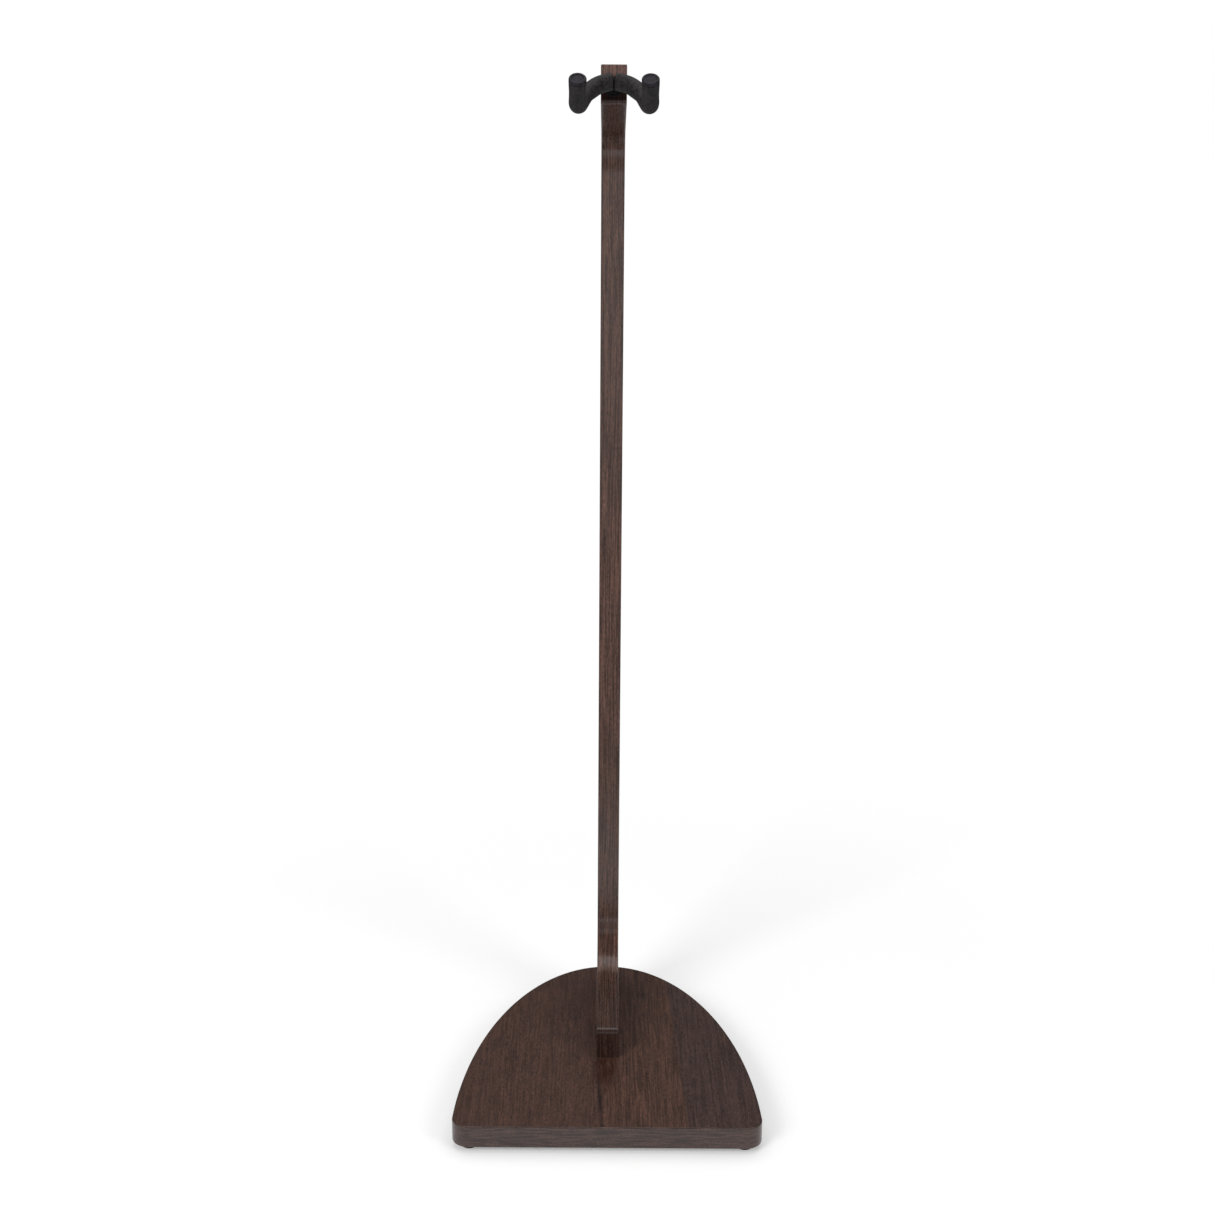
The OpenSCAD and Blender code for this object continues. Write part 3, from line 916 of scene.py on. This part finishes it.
base_leaves = [(BASE_JOIN, 0.15, 0.35), (80 * MM, -0.75, -0.25)]
base_veneer = veneer("base_veneer", None, Y, COOL_BASE, WARM_BASE, gloss=0.34, shine=0.38,
                     leaves=base_leaves, figure=base_join_and_painted_reflection)
upright_veneer = veneer("upright_veneer", None, Z, COOL_POST, WARM_POST, gloss=0.34)
base_band = veneer("edge_band", "grain", ALONG_BAND, COOL_BAND, WARM_BAND, gloss=0.25,
                   mottle=0.03, striped=1.1)
upright_band = veneer("upright_band", "grain", ALONG_BAND, COOL_POST, WARM_POST, gloss=0.2,
                      striped=1.1, figure=band_tones_and_painted_light)
sleeve_rubber = padded_rubber("sleeve_rubber", srgb(7, 7, 8), srgb(46, 42, 42), 0.72)
cap_rubber = padded_rubber("cap_rubber", srgb(0, 0, 0), srgb(40, 35, 45), 0.7)
foot_rubber = padded_rubber("foot_rubber", srgb(20, 20, 20), srgb(32, 32, 32), 0.7)
black_steel = metal("black_steel", srgb(6, 6, 7), 0.6, 0.2)
zinc_steel = metal("zinc_steel", srgb(188, 190, 194), 0.34, 1.0)
insert_brass = metal("insert_brass", srgb(206, 172, 104), 0.3, 1.0)
bearing_plastic = plastic("bearing_plastic", srgb(12, 12, 12), 0.6)
dowel_beech = bare_wood("dowel_beech", srgb(176, 138, 96), srgb(206, 172, 128))


def dress(obj, material):
    """Gives a piece, or a CAD node, one material."""
    obj.data.materials.clear()
    obj.data.materials.append(material)


def add_piece(obj, body, material, replaced):
    """Puts a finished piece on its body, in place of the CAD node that it stands for."""
    dress(obj, material)
    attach(obj, body)
    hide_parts(replaced)


# ---- Boards and bands ----

def row_places(node):
    """Middles in plan of a node's separate solids, which stand in a row along Y."""
    apart = 20 * MM
    low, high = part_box(node)
    ys = sorted(v.co.y for v in frame["nodes"][node].data.vertices)
    groups = [[ys[0]]]
    for y in ys[1:]:
        if y - groups[-1][-1] > apart:
            groups.append([])
        groups[-1].append(y)
    return [((low.x + high.x) / 2, (group[0] + group[-1]) / 2) for group in groups]


bolt_places = row_places("bolt_washers")
dowel_places = row_places("locating_dowels")


def make_base():
    """The base board, with its bolts' counterbores, and the band round its edge."""
    board = new_object("base_board_faces",
                       board_builder(base_outline, in_plan, BASE_BOTTOM, BASE_TOP))
    recess_depth = washer_high.z - BASE_BOTTOM
    drill(board, [(Vector((x, y, BASE_BOTTOM)), UP, BOLT_RECESS_R, recess_depth)
                  for x, y in bolt_places])
    sharpen(board, 20)
    add_piece(board, "stand", base_veneer, "base_board")

    section = band_section(BASE_BOTTOM, BASE_TOP)
    band = new_object("base_band", band_builder(base_outline, section, in_plan, closed=True))
    outline = base_outline(0)
    lay_grain(band, outline + outline[:1], (X, Y, Z))
    add_piece(band, "stand", base_band, "base_edge_band")


def make_upright():
    """The upright board, with its holes, and the band from the foot's nose over the top to the back."""
    board = new_object("upright_board_faces",
                       board_builder(upright_outline, in_side, -HALF_BOARD, HALF_BOARD))
    holes = [(Vector((0, ARM_END_Y, swivel_at.z)), BACK, BARREL_R, STEM_HOLE_L)]
    for x, y in bolt_places:
        holes.append((Vector((x, y, BASE_TOP)), UP, INSERT_R, insert_high.z - BASE_TOP))
    for x, y in dowel_places:
        holes.append((Vector((x, y, BASE_TOP)), UP, dowel_high.x, dowel_high.z - BASE_TOP))
    drill(board, holes)
    sharpen(board, 20)
    add_piece(board, "stand", upright_veneer, "upright_board")

    section = band_section(-HALF_BOARD, HALF_BOARD)
    band = new_object("upright_band", band_builder(open_at_foot, section, in_side, closed=False))
    drill(band, [(Vector((0, ARM_END_Y, swivel_at.z)), BACK, BARREL_R, 2 * BAND_T)])
    sharpen(band, 35)
    lay_grain(band, open_at_foot(0), (Y, Z, X))
    add_piece(band, "stand", upright_band, "upright_edge_band")


# ---- Feet, swivel and yoke ----

def make_foot(node):
    """A moulded foot with a rounded rim, a fine groove underneath and a recess for its screw."""
    low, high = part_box(node)
    centre = Vector(((low.x + high.x) / 2, (low.y + high.y) / 2, low.z))
    top_r = (high.x - low.x) / 2
    height = high.z - low.z
    sole_r = top_r - 1.2 * MM
    rim_round = 1.2 * MM
    groove_at = 6.6 * MM
    groove = 0.35 * MM
    bore_r = 2.4 * MM
    recess_r = 5 * MM
    recess_h = 3.6 * MM
    draft = 0.2 * MM
    bevel = 0.3 * MM
    shoulder = 0.4 * MM
    profile = [(bore_r, height), (bore_r, recess_h), (recess_r - draft, recess_h),
               (recess_r, bevel), (recess_r + bevel, 0)]
    profile += [(groove_at - groove, 0), (groove_at, groove), (groove_at + groove, 0)]
    profile += arc((sole_r - rim_round, rim_round), rim_round, -90, 0)
    profile += [(top_r, height - shoulder), (top_r - bevel, height)]
    profile.append(profile[0])
    foot = new_object(node + "_pad", lambda bm: lathe(bm, profile, centre, UP), smooth_angle=30)
    add_piece(foot, "stand", foot_rubber, node)


def make_socket():
    """The socket: a round-edged flange in front of the arm and a barrel inside it."""
    origin = Vector((0, ARM_END_Y, swivel_at.z))
    flange_r = socket_high.x
    thickness = ARM_END_Y - socket_low.y
    barrel_l = socket_high.y - ARM_END_Y
    bore_r = 5 * MM
    edge_round = 0.8 * MM
    profile = [(bore_r, -barrel_l), (BARREL_R - edge_round, -barrel_l),
               (BARREL_R, edge_round - barrel_l), (BARREL_R, 0), (flange_r, 0)]
    profile += arc((flange_r - edge_round, thickness - edge_round), edge_round, 0, 90, steps=4)
    profile += [(bore_r, thickness), (bore_r, -barrel_l)]
    socket = new_object("socket_flange", lambda bm: lathe(bm, profile, origin, -BACK),
                        smooth_angle=30)
    add_piece(socket, "stand", black_steel, "stem_socket")


def make_yoke():
    """The padded sleeves, notched to clear the stem's neck, and the caps on the pegs' ends."""
    clearance = 0.3 * MM
    notch = (swivel_at + BACK * NECK_L, -BACK, NECK_R + clearance, NECK_L)
    for side, word in ((-1, "left"), (1, "right")):
        sleeve = new_object(word + "_padding", sleeve_builder(side), smooth_angle=50)
        drill(sleeve, [notch])
        sharpen(sleeve, 50)
        add_piece(sleeve, "yoke", sleeve_rubber, word + "_sleeve")
        cap = new_object(word + "_peg_cap", cap_builder(side), smooth_angle=40)
        add_piece(cap, "yoke", cap_rubber, word + "_cap")


def dress_hardware():
    """Materials for the CAD nodes that show as they are."""
    finishes = {
        "foot_screws": zinc_steel,
        "upright_bolts": black_steel,
        "bolt_washers": zinc_steel,
        "bolt_inserts": insert_brass,
        "locating_dowels": dowel_beech,
        "stem_liner": bearing_plastic,
        "thrust_washer": bearing_plastic,
        "swivel_stem": black_steel,
        "rear_washer": zinc_steel,
        "lock_nut": zinc_steel,
        "yoke_rod": black_steel,
    }
    for node, material in finishes.items():
        dress(frame["nodes"][node], material)


# ---- Studio ----

def make_floor():
    """A white sheet that the camera and reflections see partly as its own glow.

    The glow takes over further out, and is a little weaker close to the object, as a soft contact
    shadow. Reflections see the floor dimmed, except level with the object and far in front of it,
    and less light bounces off it than it shows.
    """
    size = 30.0
    glow_starts = 0.45
    glow_alone = 1.3
    near_share = 0.38
    near_glow = 0.98
    far_glow = 1.03
    full_glow_share = 0.45
    contact_reach = 110 * MM
    contact_tone = 0.72
    mirrored_tone = 0.3
    bounced_tone = 0.75
    dim_ahead = (-0.8, -0.45)
    dim_behind = (1.2, 0.6)
    lit_far_ahead = (-2.2, -5)

    def build(bm):
        corners = ((-size, -size), (size, -size), (size, size), (-size, size))
        bm.faces.new([bm.verts.new((x, y, 0)) for x, y in corners])

    floor = new_object("floor", build)
    s = Shader("floor_paper")
    mottle = s.even_noise(3, detail=2)
    colour = s.mix(mottle, (0.88, 0.88, 0.88, 1), (0.9, 0.9, 0.9, 1))
    ray = s.nodes.new("ShaderNodeLightPath").outputs

    towards = s.part(s.coords(), Y)
    level = s.calc("MINIMUM", s.spread(towards, *dim_ahead), s.spread(towards, *dim_behind))
    lit = s.calc("MAXIMUM", level, s.spread(towards, *lit_far_ahead))
    mirrored = s.calc("MULTIPLY", ray["Is Glossy Ray"], s.calc("SUBTRACT", 1, lit))
    dimmed = s.spread(mirrored, 0, 1, 1, mirrored_tone)
    bounced = s.spread(ray["Is Diffuse Ray"], 0, 1, 1, bounced_tone)
    paper = s.nodes.new("ShaderNodeBsdfDiffuse")
    s.put(paper.inputs["Color"], s.shade(colour, s.calc("MULTIPLY", dimmed, bounced)))

    outwards = s.spread(s.distance(s.coords(), (0, 0, 0)), glow_starts, glow_alone)
    strength = s.spread(outwards, 0, full_glow_share, near_glow, far_glow)
    strength = s.calc("MULTIPLY", strength, dimmed)
    nearby = s.nodes.new("ShaderNodeAmbientOcclusion")
    nearby.inputs["Distance"].default_value = contact_reach
    contact = s.spread(nearby.outputs["AO"], 0, 1, contact_tone, 1)
    glow = s.nodes.new("ShaderNodeEmission")
    s.put(glow.inputs["Strength"], s.calc("MULTIPLY", strength, contact))

    seen = s.calc("MAXIMUM", ray["Is Camera Ray"], ray["Is Glossy Ray"])
    blend = s.nodes.new("ShaderNodeMixShader")
    share = s.spread(outwards, 0, 1, near_share, 1)
    s.put(blend.inputs["Fac"], s.calc("MULTIPLY", seen, share))
    s.links.new(paper.outputs["BSDF"], blend.inputs[1])
    s.links.new(glow.outputs["Emission"], blend.inputs[2])
    s.links.new(blend.outputs["Shader"], s.nodes["Material Output"].inputs["Surface"])
    dress(floor, s.material)


def add_softbox(name, place, aim, width, height, watts):
    """A rectangular area light at a place, facing the point that it aims at."""
    data = bpy.data.lights.new(name, "AREA")
    data.shape = "RECTANGLE"
    data.size = width
    data.size_y = height
    data.energy = watts
    lamp = bpy.data.objects.new(name, data)
    bpy.context.scene.collection.objects.link(lamp)
    lamp.location = place
    lamp.rotation_euler = (Vector(place) - Vector(aim)).to_track_quat("Z", "Y").to_euler()
    return lamp


def make_light():
    """A key light from the left, a weaker fill from the right, one overhead, and a white room.

    Reflections don't show the key or the fill, and the front card lights nothing: it only shows in
    reflections. The room looks white to the camera, and dimmer to everything else.
    """
    seen_by_camera = 1.0
    seen_in_reflections = 0.11
    seen_otherwise = 0.45
    middle = (0, 0, 0.5)
    key = add_softbox("key_softbox", (-2.2, -2.9, 2.4), middle, width=1.5, height=1.5, watts=108)
    fill = add_softbox("fill_softbox", (2.4, -2.2, 2.4), middle, width=1.2, height=1.2, watts=39)
    for lamp in (key, fill):
        lamp.visible_glossy = False
    add_softbox("overhead_softbox", (0, 0.42, 2.7), (0, 0.42, 0), width=2.4, height=2.1, watts=29)
    front = add_softbox("front_card", (0, -6, 1.35), (0, 0, 1.1), width=6, height=1.1, watts=15)
    front.visible_diffuse = False

    world = bpy.data.worlds.new("studio")
    bpy.context.scene.world = world
    world.use_nodes = True
    nodes, links = world.node_tree.nodes, world.node_tree.links
    path = nodes.new("ShaderNodeLightPath")

    def background(strength):
        node = nodes.new("ShaderNodeBackground")
        node.inputs["Color"].default_value = (1, 1, 1, 1)
        node.inputs["Strength"].default_value = strength
        return node.outputs["Background"]

    def choose(share, a, b):
        node = nodes.new("ShaderNodeMixShader")
        links.new(share, node.inputs["Fac"])
        links.new(a, node.inputs[1])
        links.new(b, node.inputs[2])
        return node.outputs["Shader"]

    unseen = choose(path.outputs["Is Glossy Ray"], background(seen_otherwise),
                    background(seen_in_reflections))
    sky = choose(path.outputs["Is Camera Ray"], unseen, background(seen_by_camera))
    links.new(sky, nodes["World Output"].inputs["Surface"])


def make_camera():
    """Looks down on the base and level with the yoke, as a standing person's camera does."""
    data = bpy.data.cameras.new("camera")
    data.sensor_width = 36
    data.lens = 50
    camera = bpy.data.objects.new("camera", data)
    bpy.context.scene.collection.objects.link(camera)
    distance = 1.5945
    height = 1.0684
    offset = -0.00358
    pitch = math.radians(15.85)
    roll = math.radians(0.357)
    place = Matrix.Translation((offset, band_low.y - distance, height))
    turn = Matrix.Rotation(math.pi / 2 - pitch, 4, "X") @ Matrix.Rotation(roll, 4, "Z")
    camera.matrix_world = place @ turn
    bpy.context.scene.camera = camera


make_camera()
make_base()
make_upright()
for foot_node in ("front_left_foot", "front_right_foot", "rear_left_foot", "rear_right_foot"):
    make_foot(foot_node)
make_socket()
make_yoke()
dress_hardware()
make_floor()
make_light()
bpy.context.scene.view_settings.view_transform = "Standard"
